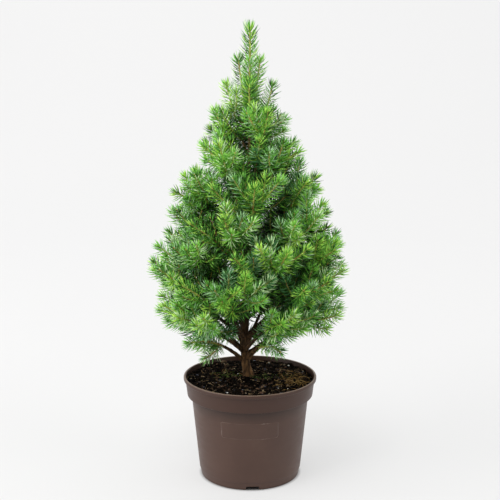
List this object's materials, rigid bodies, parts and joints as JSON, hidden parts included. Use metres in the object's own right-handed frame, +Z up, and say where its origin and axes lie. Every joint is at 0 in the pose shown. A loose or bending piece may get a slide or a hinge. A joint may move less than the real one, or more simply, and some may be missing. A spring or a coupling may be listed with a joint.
{
  "type": "potted dwarf alberta spruce",
  "caption": "Small conical spruce with steep needled shoots all round a straight trunk, growing in a round tapered nursery pot filled with potting soil.",
  "frame": {"origin": "middle of the pot's flat underside", "axes": "+Z up along the tree, -Y the front as seen, +X to the viewer's right"},
  "size_m": [0.2236, 0.2238, 0.5024],
  "materials": {
    "pot_plastic": "brown nursery plastic, low sheen",
    "potting_soil": "dark moist peat with fibres",
    "bark": "rough brown bark",
    "foliage": "needles, light green at the tips and bluer inside"
  },
  "bodies": {
    "root": {"pot": "pot_plastic", "soil": "potting_soil", "trunk": "bark", "skirt_bough_1": "bark", "skirt_mass_1": "foliage", "skirt_bough_2": "bark", "skirt_mass_2": "foliage", "skirt_bough_3": "bark", "skirt_mass_3": "foliage", "skirt_bough_4": "bark", "skirt_mass_4": "foliage", "low_bough_1": "bark", "low_mass_1": "foliage", "low_bough_2": "bark", "low_mass_2": "foliage", "low_bough_3": "bark", "low_mass_3": "foliage", "low_bough_4": "bark", "low_mass_4": "foliage", "low_bough_5": "bark", "low_mass_5": "foliage", "broad_bough_1": "bark", "broad_mass_1": "foliage", "broad_bough_2": "bark", "broad_mass_2": "foliage", "broad_bough_3": "bark", "broad_mass_3": "foliage", "broad_bough_4": "bark", "broad_mass_4": "foliage", "broad_bough_5": "bark", "broad_mass_5": "foliage", "waist_mass_1": "foliage", "waist_mass_2": "foliage", "waist_mass_3": "foliage", "waist_mass_4": "foliage", "waist_mass_5": "foliage", "middle_mass_1": "foliage", "middle_mass_2": "foliage", "middle_mass_3": "foliage", "middle_mass_4": "foliage", "middle_mass_5": "foliage", "shoulder_mass_1": "foliage", "shoulder_mass_2": "foliage", "shoulder_mass_3": "foliage", "shoulder_mass_4": "foliage", "upper_mass_1": "foliage", "upper_mass_2": "foliage", "upper_mass_3": "foliage", "upper_mass_4": "foliage", "high_mass_1": "foliage", "high_mass_2": "foliage", "high_mass_3": "foliage", "crest_mass_1": "foliage", "crest_mass_2": "foliage", "crest_mass_3": "foliage", "crest_mass_4": "foliage", "spire_mass_1": "foliage", "spire_mass_2": "foliage", "spire_mass_3": "foliage", "leader_mass": "foliage"}
  },
  "joints": []
}
